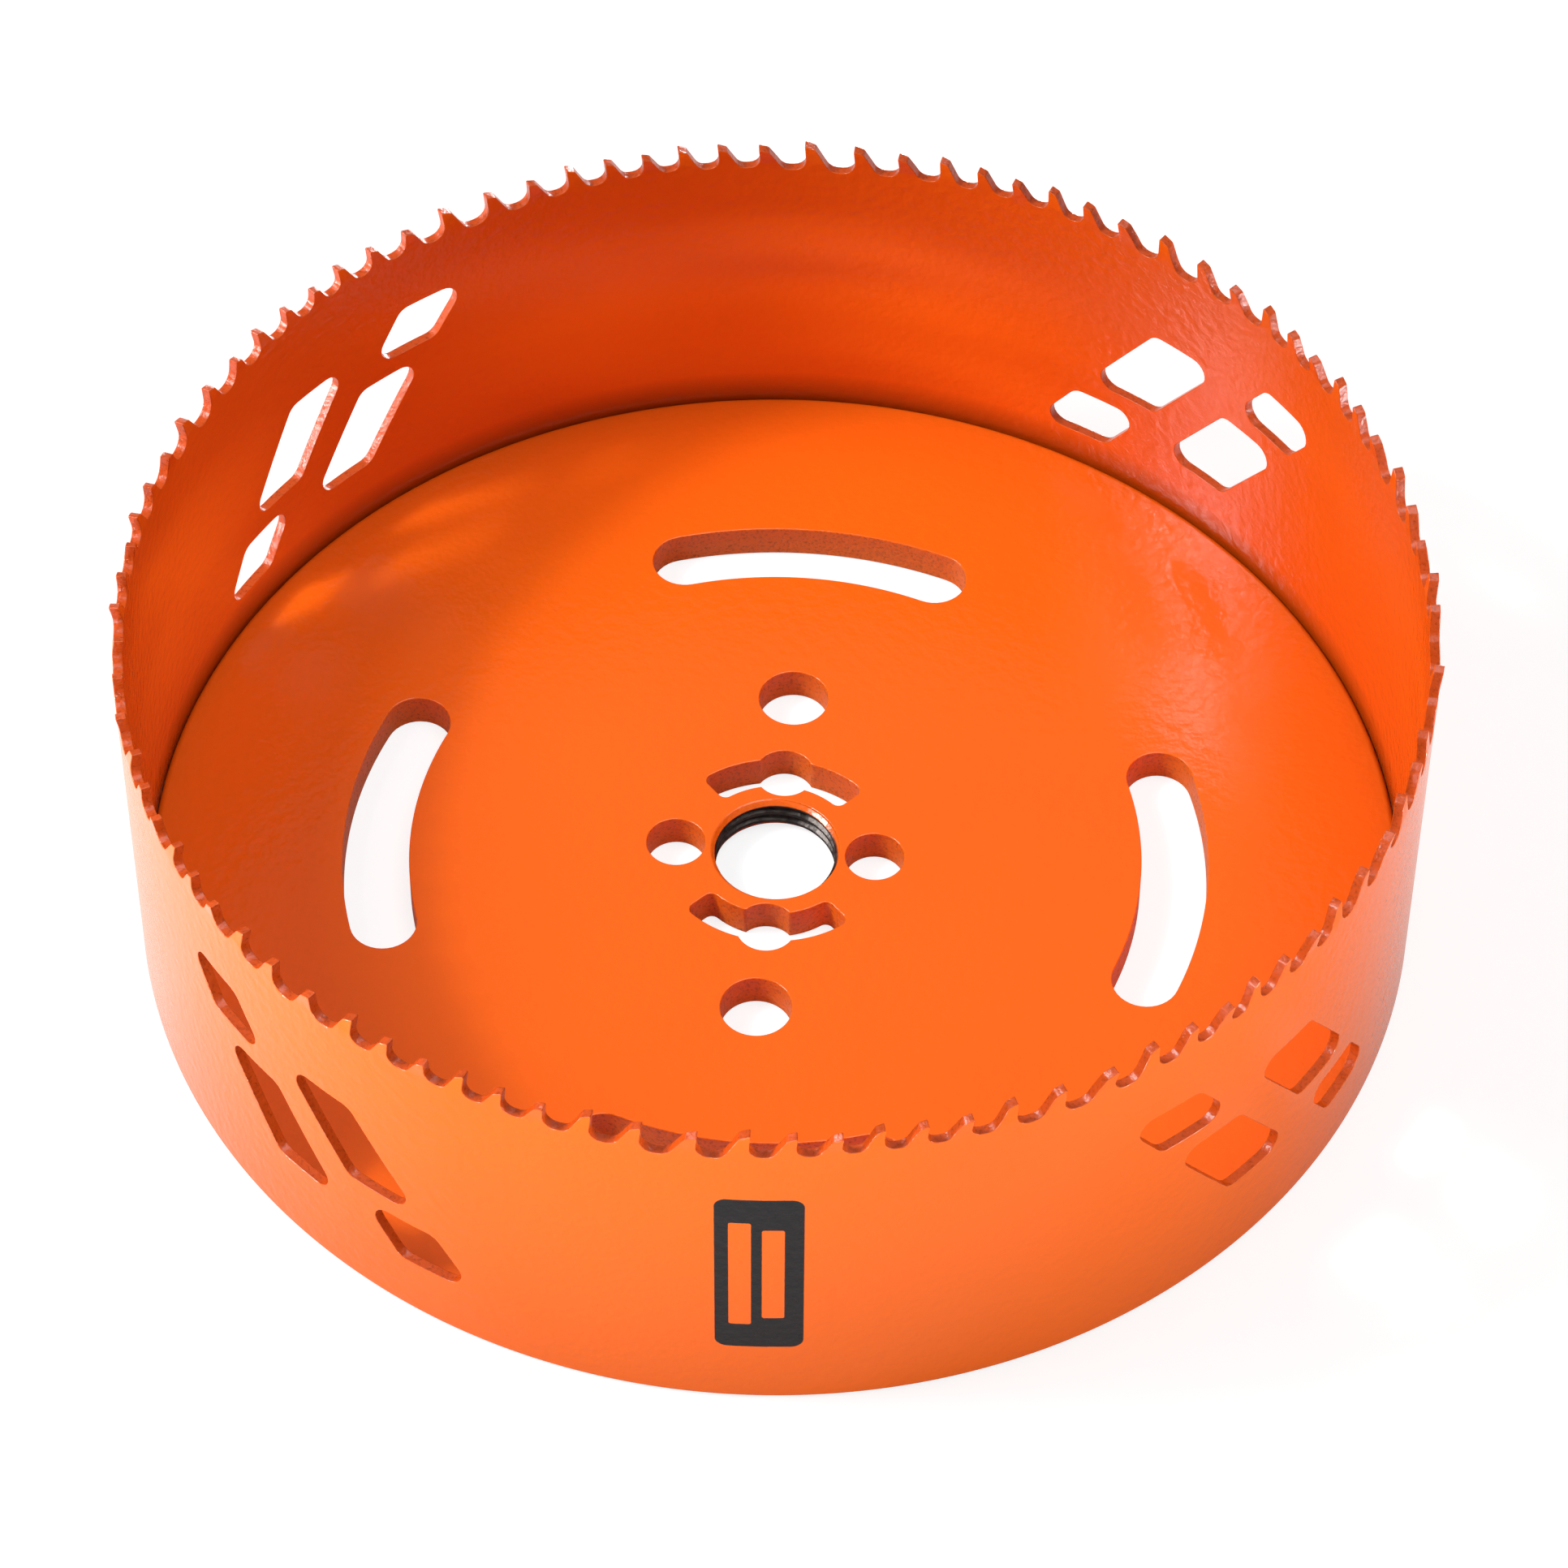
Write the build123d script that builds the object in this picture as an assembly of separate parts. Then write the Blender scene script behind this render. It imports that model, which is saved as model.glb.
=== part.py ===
from build123d import *
import math
import os

# ---------------------------------------------------------------------------
# Six-inch hole saw: a toothed strip rolled into a ring, closed by a flat steel
# backing plate. Z is the saw's axis, the teeth point up and z = 0 is the outer
# face of the plate, which is also the foot of the ring. Sizes in mm, degrees.
# ---------------------------------------------------------------------------

# toothed ring
SAW_DIAMETER = 152.4
RING_HEIGHT = 48.4
RING_WALL = 1.2
RING_FOOT_ROUND = 0.5

# teeth: one cycle of uneven pitches, repeated from the weld all the way round
PITCH_CYCLE = (5.1, 4.9, 4.6, 4.7, 4.9, 5.2, 5.6, 6.1, 5.7)
WELD_ANGLE = 351.3
# share of the pitch behind each tooth
LAND_SHARE = 0.22
GULLET_DEPTH_SHARE = 0.63
GULLET_ROUND_SHARE = 0.26
# slopes of the tooth: relief of the land, fall of the back, lean of the rake face
RELIEF_ANGLE = 20.0
BACK_ANGLE = 60.0
HOOK_ANGLE = 5.0
# the set bends the top of each tooth in, leaves it straight or bends it out
TOOTH_SET = 0.38
SET_HEIGHT = 2.4
SET_PATTERN = (-1, 0, 1)

# windows for clearing chips: clusters of two short and two tall leaning slots
CLUSTER_COUNT = 4
CLUSTER_ANGLE = 52.4
WINDOW_WIDTH = 10.0
TALL_WINDOW_HEIGHT = 13.2
SHORT_WINDOW_HEIGHT = 7.35
WINDOW_LEAN = 35.0
WINDOW_ROUND = 2.0
WINDOW_MIDDLE_Z = 22.55
TALL_WINDOW_OFFSET = 5.85
TALL_WINDOW_RISE = 3.05
SHORT_WINDOW_OFFSET = 14.76
SHORT_WINDOW_RISE = 9.8

# backing plate
PLATE_THICKNESS = 4.5
PLATE_EDGE_ROUND = 0.9
PLATE_CLEARANCE = 0.05

# 5/8-18 arbor thread, cut to its minor diameter
THREAD_MINOR_DIAMETER = 14.4
THREAD_CHAMFER = 0.6

# pin holes of the arbor, and the two slots that take its drive lugs
PIN_HOLE_DIAMETER = 7.1
PIN_CIRCLE_RADIUS = 12.0
DRIVE_SLOT_WIDTH = 4.1
DRIVE_SLOT_HALF_ANGLE = 44.0
DRIVE_SLOT_ROUND = 1.0

# plug-ejection holes and curved slots further out
EJECT_HOLE_DIAMETER = 8.5
EJECT_CIRCLE_RADIUS = 24.1
CURVED_SLOT_COUNT = 4
CURVED_SLOT_RADIUS = 48.0
CURVED_SLOT_WIDTH = 8.0
CURVED_SLOT_HALF_ANGLE = 19.0

# how far a cutting tool runs past the metal it cuts, and the least gap between blocks
OVERRUN = 1.0
HAIR_GAP = 0.1

RING_RADIUS = SAW_DIAMETER / 2
RING_BORE_RADIUS = RING_RADIUS - RING_WALL
BEND_Z = RING_HEIGHT - SET_HEIGHT


def radial_plane(angle):
    """A plane facing outwards at an angle: x runs round the ring, y runs up the wall."""
    outward = Vector(1, 0, 0).rotate(Axis.Z, angle)
    around = Vector(0, 1, 0).rotate(Axis.Z, angle)
    return Plane(origin=(0, 0, 0), x_dir=around, z_dir=outward)


def cut_through_wall(sketch, angle):
    """Push an outline, drawn as seen from outside, through the wall at an angle."""
    inner = RING_BORE_RADIUS - TOOTH_SET - OVERRUN
    outer = RING_RADIUS + TOOTH_SET + OVERRUN
    return extrude(radial_plane(angle).offset(inner) * sketch, amount=outer - inner)


def tooth_pitches():
    """The pitch in front of every tooth from the weld round, stretched to close the ring."""
    circumference = 2 * math.pi * RING_RADIUS
    mean_pitch = sum(PITCH_CYCLE) / len(PITCH_CYCLE)
    count = round(circumference / mean_pitch)
    nominal = [PITCH_CYCLE[i % len(PITCH_CYCLE)] for i in range(count)]
    stretch = circumference / sum(nominal)
    return [pitch * stretch for pitch in nominal]


def arc_angle(length):
    """The angle that a length along the ring's outer face covers."""
    return math.degrees(length / RING_RADIUS)


def back_share():
    """How far behind its tip, as a share of the pitch, the back of a tooth meets the floor."""
    fall = GULLET_DEPTH_SHARE - LAND_SHARE * math.tan(math.radians(RELIEF_ANGLE))
    return LAND_SHARE + fall / math.tan(math.radians(BACK_ANGLE))


def rake_share():
    """How far behind a tip the next tooth's rake face meets the floor."""
    return 1 + GULLET_DEPTH_SHARE * math.tan(math.radians(HOOK_ANGLE))


def floor_share():
    """How far behind a tip the middle of the gullet's floor lies."""
    return (back_share() + rake_share()) / 2


def lower_ring():
    """The straight part of the strip, from its rounded foot up to the bend of the teeth."""
    middle = (RING_RADIUS + RING_BORE_RADIUS) / 2
    section = Pos(middle, BEND_Z / 2) * Rectangle(RING_WALL, BEND_Z)
    foot = section.vertices().sort_by_distance((RING_RADIUS, 0, 0))[0]
    section = fillet(foot, RING_FOOT_ROUND)
    # the strip's ends meet in the gullet behind the first tooth
    seam_angle = WELD_ANGLE - arc_angle(floor_share() * tooth_pitches()[-1])
    return Rot(Z=seam_angle) * revolve(Plane.XZ * section, Axis.Z)


def crown_block(start, arc, direction):
    """The strip above the bend over one tooth, leaning in, standing straight or leaning out."""
    height = SET_HEIGHT + OVERRUN
    lean = direction * TOOTH_SET * height / SET_HEIGHT
    section = Polygon(
        (RING_BORE_RADIUS, BEND_Z),
        (RING_RADIUS, BEND_Z),
        (RING_RADIUS + lean, BEND_Z + height),
        (RING_BORE_RADIUS + lean, BEND_Z + height),
        align=None,
    )
    return Rot(Z=start) * revolve(Plane.XZ * section, Axis.Z, revolution_arc=arc)


def gullet_outline(pitch):
    """The gap between two tooth tips, which stand half a pitch to each side of x = 0.

    From the right-hand tip the land falls slowly back, the back of the tooth drops to the
    floor, and the rake face of the next tooth rises at the left, leaning over the gullet.
    """
    relief = math.tan(math.radians(RELIEF_ANGLE))
    hook = math.tan(math.radians(HOOK_ANGLE))
    tip = pitch / 2
    floor_z = RING_HEIGHT - GULLET_DEPTH_SHARE * pitch
    heel_x = tip - LAND_SHARE * pitch
    heel_z = RING_HEIGHT - LAND_SHARE * pitch * relief
    back_x = tip - back_share() * pitch
    rake_x = tip - rake_share() * pitch
    top_z = RING_HEIGHT + 2 * OVERRUN
    outline = Polygon(
        (tip + OVERRUN, RING_HEIGHT + OVERRUN * relief),
        (tip + OVERRUN, top_z),
        (-tip + (top_z - RING_HEIGHT) * hook, top_z),
        (rake_x, floor_z),
        (back_x, floor_z),
        (heel_x, heel_z),
        align=None,
    )
    corners = outline.vertices()
    back = corners.sort_by_distance((back_x, floor_z, 0))[0]
    rake = corners.sort_by_distance((rake_x, floor_z, 0))[0]
    return fillet([back, rake], GULLET_ROUND_SHARE * pitch)


def add_teeth(ring):
    """Stand a bent block over each tooth, then cut the gullets through blocks and ring."""
    blocks = []
    gullets = []
    # the blocks end over the middle of each gullet's floor, where the cut clears them
    behind = floor_share()
    pitches = tooth_pitches()
    angle = WELD_ANGLE
    for i, pitch in enumerate(pitches):
        start = angle - arc_angle(behind * pitches[i - 1] - HAIR_GAP / 2)
        end = angle + arc_angle((1 - behind) * pitch - HAIR_GAP / 2)
        direction = SET_PATTERN[i % len(SET_PATTERN)]
        blocks.append(crown_block(start, end - start, direction))
        middle = angle + arc_angle(pitch) / 2
        gullets.append(cut_through_wall(gullet_outline(pitch), middle))
        angle += arc_angle(pitch)
    return ring.fuse(*blocks) - gullets


def window_outline(height):
    """A leaning slot with level top and bottom, its top shifted back against the teeth."""
    shift = height / 2 * math.tan(math.radians(WINDOW_LEAN))
    half = WINDOW_WIDTH / 2
    outline = Polygon(
        (-half - shift, height / 2),
        (-half + shift, -height / 2),
        (half + shift, -height / 2),
        (half - shift, height / 2),
        align=None,
    )
    return fillet(outline.vertices(), WINDOW_ROUND)


def cluster_windows(cluster_angle):
    """Two tall slots side by side, with a short one high on one side and low on the other."""
    places = (
        (-1, SHORT_WINDOW_OFFSET, SHORT_WINDOW_RISE, SHORT_WINDOW_HEIGHT),
        (-1, TALL_WINDOW_OFFSET, -TALL_WINDOW_RISE, TALL_WINDOW_HEIGHT),
        (1, TALL_WINDOW_OFFSET, -TALL_WINDOW_RISE, TALL_WINDOW_HEIGHT),
        (1, SHORT_WINDOW_OFFSET, SHORT_WINDOW_RISE, SHORT_WINDOW_HEIGHT),
    )
    cuts = []
    for side, offset, rise, height in places:
        outline = Pos(0, WINDOW_MIDDLE_Z - side * rise) * window_outline(height)
        cuts.append(cut_through_wall(outline, cluster_angle + arc_angle(side * offset)))
    return cuts


def toothed_ring():
    """The rolled and welded strip with its teeth and windows."""
    ring = add_teeth(lower_ring())
    cuts = []
    for i in range(CLUSTER_COUNT):
        cuts += cluster_windows(CLUSTER_ANGLE + i * 360 / CLUSTER_COUNT)
    return ring - cuts


def plate_disc():
    """The blanked disc, its inner edge rolled over, with the chamfered thread bore."""
    flat = (Align.CENTER, Align.CENTER, Align.MIN)
    disc = Cylinder(RING_BORE_RADIUS - PLATE_CLEARANCE, PLATE_THICKNESS, align=flat)
    disc = fillet(disc.edges().sort_by(Axis.Z)[-1], PLATE_EDGE_ROUND)
    disc -= Cylinder(THREAD_MINOR_DIAMETER / 2, PLATE_THICKNESS, align=flat)
    bore = disc.faces().filter_by(GeomType.CYLINDER).sort_by(SortBy.AREA)[0]
    return chamfer(bore.edges().filter_by(GeomType.CIRCLE), THREAD_CHAMFER)


def drive_slot():
    """A curved slot across the pin circle with a pin hole through its middle, on +Y."""
    far = PIN_CIRCLE_RADIUS + DRIVE_SLOT_WIDTH
    edge_x = far * math.tan(math.radians(DRIVE_SLOT_HALF_ANGLE))
    wedge = Polygon((0, 0), (edge_x, far), (-edge_x, far), align=None)
    band = Circle(PIN_CIRCLE_RADIUS + DRIVE_SLOT_WIDTH / 2)
    band -= Circle(PIN_CIRCLE_RADIUS - DRIVE_SLOT_WIDTH / 2)
    slot = fillet((band & wedge).vertices(), DRIVE_SLOT_ROUND)
    return slot + Pos(0, PIN_CIRCLE_RADIUS) * Circle(PIN_HOLE_DIAMETER / 2)


def plate_openings():
    """Every hole and slot of the plate but the thread, as one drawing."""
    openings = []
    for side in (-1, 1):
        openings.append(Pos(side * PIN_CIRCLE_RADIUS, 0) * Circle(PIN_HOLE_DIAMETER / 2))
        openings.append(Pos(0, side * EJECT_CIRCLE_RADIUS) * Circle(EJECT_HOLE_DIAMETER / 2))
        openings.append(Rot(Z=90 - side * 90) * drive_slot())
    for i in range(CURVED_SLOT_COUNT):
        middle = i * 360 / CURVED_SLOT_COUNT
        start = middle - CURVED_SLOT_HALF_ANGLE
        line = CenterArc((0, 0), CURVED_SLOT_RADIUS, start, 2 * CURVED_SLOT_HALF_ANGLE)
        openings.append(SlotArc(line, CURVED_SLOT_WIDTH))
    return openings


def backing_plate():
    """The flat disc inside the ring's foot that carries the saw on its arbor."""
    plate = plate_disc()
    plate -= [extrude(sketch, amount=PLATE_THICKNESS) for sketch in plate_openings()]
    return plate


os.makedirs("parts", exist_ok=True)
export_step(toothed_ring(), "parts/toothed_ring.step")
export_step(backing_plate(), "parts/backing_plate.step")
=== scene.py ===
import bpy
import numpy as np
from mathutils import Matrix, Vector
from mathutils.geometry import delaunay_2d_cdt


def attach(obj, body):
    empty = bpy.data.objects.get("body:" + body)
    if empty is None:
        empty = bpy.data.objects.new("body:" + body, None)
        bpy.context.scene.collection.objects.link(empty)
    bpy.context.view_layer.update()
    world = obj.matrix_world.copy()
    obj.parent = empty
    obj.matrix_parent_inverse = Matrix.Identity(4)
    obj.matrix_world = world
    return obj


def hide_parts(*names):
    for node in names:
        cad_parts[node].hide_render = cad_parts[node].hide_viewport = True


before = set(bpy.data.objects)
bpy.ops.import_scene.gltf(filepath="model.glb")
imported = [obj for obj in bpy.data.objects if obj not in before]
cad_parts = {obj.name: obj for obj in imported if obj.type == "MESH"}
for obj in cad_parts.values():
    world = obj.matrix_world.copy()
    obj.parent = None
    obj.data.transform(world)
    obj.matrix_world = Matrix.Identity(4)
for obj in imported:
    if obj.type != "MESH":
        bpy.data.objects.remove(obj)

for leftover in ("Cube", "Light", "Camera"):
    if leftover in bpy.data.objects:
        bpy.data.objects.remove(bpy.data.objects[leftover])

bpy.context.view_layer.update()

# ---------------------------------------------------------------------------
# Toothed ring. One strip of spring steel: the teeth and the leaning chip windows are punched
# while it is flat, the teeth are bent in, left straight and bent out by turns, and the strip
# is rolled and welded into a ring, the weld standing in a gullet. Lengths here are in mm.
# ---------------------------------------------------------------------------
mm = 0.001

ring_radius = 76.2
ring_height = 48.4
ring_wall = 1.2
foot_round = 0.5
foot_inner_round = 0.15
foot_band = 1.0
edge_round = 0.1

pitch_cycle = (5.1, 4.9, 4.6, 4.7, 4.9, 5.2, 5.6, 6.1, 5.7)
weld_angle = 351.3
land_share = 0.22
gullet_depth_share = 0.63
gullet_round_share = 0.26
heel_round_share = 0.12
tip_round = 0.13
relief_angle = 20.0
back_angle = 60.0
hook_angle = 5.0
tooth_set = 0.36
set_pattern = (-1, 0, 1)
set_height = 2.4
bend_softness = 0.35

cluster_count = 4
cluster_angle = 52.4
window_width = 10.0
window_lean = 35.0
window_round = 2.0
window_middle_z = 22.55
tall_window_height = 13.2
tall_window_offset = 5.85
tall_window_rise = 3.05
short_window_height = 7.35
short_window_offset = 14.76
short_window_rise = 9.8

# how finely the strip is drawn: points on a corner or an arc, and the longest step on a side
tooth_corner_points = 6
tooth_step = 0.7
window_corner_points = 9
window_step = 1.4
cut_edge_steps = 3
foot_edge_steps = 5
foot_points = 480
sheet_columns = 160
sheet_low = 4.0
sheet_high = 43.6
sheet_step = 3.2
sheet_clearance = 0.7

circumference = 2 * np.pi * ring_radius
relief_slope = np.tan(np.radians(relief_angle))
tooth_count = round(circumference / np.mean(pitch_cycle))
pitches = np.resize(pitch_cycle, tooth_count)
pitches = pitches * circumference / pitches.sum()
back_drop_share = gullet_depth_share - land_share * relief_slope
back_share = land_share + back_drop_share / np.tan(np.radians(back_angle))
rake_share = 1 + gullet_depth_share * np.tan(np.radians(hook_angle))
floor_start = back_share + gullet_round_share * np.tan(np.radians(back_angle) / 2)
floor_end = rake_share - gullet_round_share * np.tan(np.radians(90 + hook_angle) / 2)
# the flat strip is measured from the weld, which stands in the middle of a gullet's flat floor
weld_share = (floor_start + floor_end) / 2
first_tip = weld_share * pitches[-1]
tips = first_tip + np.concatenate([[0], np.cumsum(pitches)])
seam_angle = np.radians(weld_angle) - first_tip / ring_radius


def unit(vectors):
    """Each vector over its own length."""
    return vectors / np.linalg.norm(vectors, axis=-1, keepdims=True)


def neighbours(points, wrap):
    """The points before and after each one on a path that closes, or that repeats after wrap."""
    before = np.roll(points, 1, axis=-2)
    after = np.roll(points, -1, axis=-2)
    before[..., 0, :] -= wrap
    after[..., -1, :] += wrap
    return before, after


def round_corners(corners, radii, samples, wrap=(0, 0)):
    """Each corner becomes an arc of its radius that touches both its sides.

    The arc's centre lies on the corner's bisector, radius / sin(half angle) from the corner,
    and its ends lie radius / tan(half angle) along the two sides.
    """
    before, after = neighbours(corners, wrap)
    to_before = unit(before - corners)
    to_after = unit(after - corners)
    half = np.arccos(np.clip((to_before * to_after).sum(-1), -1, 1)) / 2
    centre = corners + unit(to_before + to_after) * (radii / np.sin(half))[..., None]
    touch = (radii / np.tan(half))[..., None]
    first = corners + to_before * touch - centre
    last = corners + to_after * touch - centre
    start = np.arctan2(first[..., 1], first[..., 0])
    sweep = np.arctan2(last[..., 1], last[..., 0]) - start
    sweep = (sweep + np.pi) % (2 * np.pi) - np.pi
    angle = start[..., None] + sweep[..., None] * np.linspace(0, 1, samples)
    arc = np.stack([np.cos(angle), np.sin(angle)], -1) * np.asarray(radii)[..., None, None]
    arc = centre[..., None, :] + arc
    return arc.reshape(*corners.shape[:-2], -1, 2)


def refine(points, step, wrap=(0, 0)):
    """Long sides get evenly spaced points between their ends, none further apart than step."""
    after = neighbours(points, wrap)[1]
    length = np.linalg.norm(after - points, axis=-1)
    parts = np.maximum(np.ceil(length / step), 1).astype(int)
    index = np.repeat(np.arange(len(points)), parts)
    share = (np.arange(parts.sum()) - np.repeat(np.cumsum(parts) - parts, parts)) / parts[index]
    return points[index] + (after - points)[index] * share[:, None]


def outward(points, wrap=(0, 0)):
    """The mitred normal at each point of a path that keeps the metal on its left.

    The two sides' right-hand normals are added and stretched, so that moving every point by
    its normal moves each side by exactly one. At a very sharp corner the stretch is held back.
    """
    sharpest = -0.6
    before, after = neighbours(points, wrap)
    side_in = unit(points - before)
    side_out = unit(after - points)
    normal_in = np.stack([side_in[..., 1], -side_in[..., 0]], -1)
    normal_out = np.stack([side_out[..., 1], -side_out[..., 0]], -1)
    together = (normal_in * normal_out).sum(-1, keepdims=True)
    return (normal_in + normal_out) / (1 + np.maximum(together, sharpest))


def wall_profile(thickness, top_round, bottom_round, steps, top_band=0.0, bottom_band=0.0):
    """The section of a cut edge from the top face over a quarter round, down and under.

    Columns: distance in from the outline, height over the middle of the thickness, and the
    outward and upward parts of the normal.
    """
    turn = np.linspace(0, np.pi / 2, steps + 1)
    out_part = np.sin(turn)
    up_part = np.cos(turn)
    half = thickness / 2
    upper_inset = top_round * (1 - out_part)
    upper_height = half - top_round * (1 - up_part)
    upper = np.stack([upper_inset, upper_height, out_part, up_part], -1)
    lower_inset = bottom_round * (1 - out_part)
    lower_height = bottom_round * (1 - up_part) - half
    lower = np.stack([lower_inset, lower_height, out_part, -up_part], -1)
    rows = [upper, lower[::-1]]
    if top_band:
        rows.insert(0, np.array([[top_band, half, 0, 1]]))
    if bottom_band:
        rows.append(np.array([[bottom_band, -half, 0, -1]]))
    return np.concatenate(rows)


def carry(points, normals, profile):
    """The profile carried along a path: flat place, height and normal at (point, profile row)."""
    inset, height, out_part, up_part = profile.T
    place = points[..., None, :] - normals[..., None, :] * inset[:, None]
    height = np.broadcast_to(height, place.shape[:-1])
    flat = unit(normals)[..., None, :] * out_part[:, None]
    up = np.broadcast_to(up_part, place.shape[:-1])[..., None]
    return place, height, np.concatenate([flat, up], -1)


def band_faces(first, count, rows):
    """Quads between neighbouring columns of a closed band whose vertices start at first."""
    column = np.arange(count)
    here = first + column[:, None] * rows + np.arange(rows - 1)
    there = first + ((column + 1) % count)[:, None] * rows + np.arange(rows - 1)
    return np.stack([here, here + 1, there + 1, there], -1).reshape(-1, 4)


def rim_numbers(starts, counts, rows):
    """The vertex numbers of the first and the last row of every band, band after band."""
    first = np.concatenate([start + np.arange(n) * row for start, n, row in zip(starts, counts, rows)])
    return first, first + np.repeat(rows, counts) - 1


def inside(points, starts, ends):
    """True where a line going right from the point crosses the outline's sides an odd number of times.

    The points are taken in parts, so that no table of points by sides grows too large.
    """
    table_size = 4_000_000
    result = np.zeros(len(points), bool)
    part_count = max(1, len(points) * len(starts) // table_size)
    for part in np.array_split(np.arange(len(points)), part_count):
        x = points[part, 0, None]
        y = points[part, 1, None]
        spans = (starts[:, 1] > y) != (ends[:, 1] > y)
        rise = np.where(ends[:, 1] == starts[:, 1], 1, ends[:, 1] - starts[:, 1])
        cross = starts[:, 0] + (y - starts[:, 1]) / rise * (ends[:, 0] - starts[:, 0])
        result[part] = (spans & (x < cross)).sum(1) % 2 == 1
    return result


def fill(points, sides):
    """Triangles that fill the outline drawn by sides, using every point, as rows of point numbers.

    The plane is cut into triangles that keep every side, and those inside the outline stay,
    turned anticlockwise.
    """
    nearness = 1e-7
    vectors = [Vector(p) for p in points.tolist()]
    found, _, faces, origin, _, _ = delaunay_2d_cdt(vectors, sides.tolist(), [], 0, nearness)
    number = np.array([o[0] if o else -1 for o in origin])
    places = np.array([tuple(p) for p in found])
    faces = np.array([f for f in faces if len(f) == 3])
    keep = inside(places[faces].mean(1), points[sides[:, 0]], points[sides[:, 1]])
    corner = places[faces[keep]]
    first = corner[:, 1] - corner[:, 0]
    second = corner[:, 2] - corner[:, 0]
    flipped = first[:, 0] * second[:, 1] - first[:, 1] * second[:, 0] < 0
    triangles = number[faces[keep]]
    triangles[flipped] = triangles[flipped][:, ::-1]
    return triangles


def build_piece(name, places, normals, faces, masks, flat_places):
    """A mesh object from numpy arrays in mm, smooth, with the worked-out normal at each vertex.

    Each mask becomes an attribute with one number a vertex, and the flat places a UV map in
    metres.
    """
    mesh = bpy.data.meshes.new(name)
    mesh.from_pydata((places * mm).tolist(), [], [f.tolist() for group in faces for f in group])
    for label, values in masks.items():
        layer = mesh.attributes.new(label, "FLOAT", "POINT")
        layer.data.foreach_set("value", values.astype(np.float32))
    corner_vertex = np.empty(len(mesh.loops), np.int32)
    mesh.loops.foreach_get("vertex_index", corner_vertex)
    layer = mesh.uv_layers.new(name="flat")
    layer.data.foreach_set("uv", (flat_places[corner_vertex] * mm).astype(np.float32).ravel())
    mesh.polygons.foreach_set("use_smooth", np.ones(len(mesh.polygons), bool))
    mesh.update()
    mesh.normals_split_custom_set_from_vertices(normals.tolist())
    piece = bpy.data.objects.new(name, mesh)
    bpy.context.scene.collection.objects.link(piece)
    return piece


def tooth_outline():
    """The toothed edge of the flat strip from the weld back to the weld, right to left.

    In each pitch the land falls from the tip at the relief angle, the back drops steeply to the
    floor, and the next tooth's rake face leans over the gullet.
    """
    depth = gullet_depth_share * pitches
    right = tips[1:]
    land = land_share * pitches
    corners = np.stack(
        [
            np.stack([right, np.full(tooth_count, ring_height)], -1),
            np.stack([right - land, ring_height - land * relief_slope], -1),
            np.stack([right - back_share * pitches, ring_height - depth], -1),
            np.stack([right - rake_share * pitches, ring_height - depth], -1),
        ],
        1,
    )
    radii = np.stack(
        [
            np.full(tooth_count, tip_round),
            heel_round_share * pitches,
            gullet_round_share * pitches,
            gullet_round_share * pitches,
        ],
        1,
    )
    corners = corners[::-1].reshape(-1, 2)
    radii = radii[::-1].reshape(-1)
    # the last pitch is cut by the weld: its first three corners belong to the left-hand end
    corners[:3, 0] -= circumference
    corners = np.roll(corners, -3, axis=0)
    radii = np.roll(radii, -3)
    wrap = np.array([-circumference, 0])
    path = round_corners(corners, radii, tooth_corner_points, wrap)
    path = np.vstack([path, [0, ring_height - depth[-1]]])
    return refine(path, tooth_step, wrap), wrap


def window_outlines():
    """The windows' outlines, clockwise: four slots in each cluster, leaning back from upright.

    A point at height h over the slot's middle is moved along by -h times the lean's tangent.
    """
    lean = np.tan(np.radians(window_lean))
    slots = np.array(
        [
            [-short_window_offset, short_window_rise, short_window_height],
            [-tall_window_offset, -tall_window_rise, tall_window_height],
            [tall_window_offset, tall_window_rise, tall_window_height],
            [short_window_offset, -short_window_rise, short_window_height],
        ]
    )
    offsets, rises, heights = slots.T
    angles = np.radians(cluster_angle) + np.arange(cluster_count) * 2 * np.pi / cluster_count
    along = (angles - seam_angle) % (2 * np.pi) * ring_radius
    middle_along = (along[:, None] + offsets).ravel()
    middle_height = np.tile(window_middle_z + rises, cluster_count)
    centre = np.stack([middle_along, middle_height], -1)
    half = np.tile(heights, cluster_count) / 2
    side = window_width / 2
    up = np.array([1, 1, -1, -1])
    across = np.array([-1, 1, 1, -1])
    corners = np.stack([across * side - up * half[:, None] * lean, up * half[:, None]], -1)
    corners = corners + centre[:, None, :]
    rounded = round_corners(corners, np.full(corners.shape[:2], window_round), window_corner_points)
    return [refine(outline, window_step) for outline in rounded]


def set_offset(along, height):
    """How far a point of the wall stands out or in through its tooth's set, and the slope there.

    Each tooth leans by a soft hinge, (sqrt(x * x + w * w) + x) / 2 with x the height over the
    bend; the direction goes in, straight, out from tooth to tooth.
    """
    tooth = np.searchsorted(tips[:-1] - weld_share * np.roll(pitches, 1), along, side="right") - 1
    direction = np.array(set_pattern)[tooth % len(set_pattern)]
    over = height - (ring_height - set_height)
    root = np.sqrt(over**2 + bend_softness**2)
    slope = direction * tooth_set / set_height
    return slope * (root + over) / 2, slope * (1 + over / root) / 2


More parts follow.
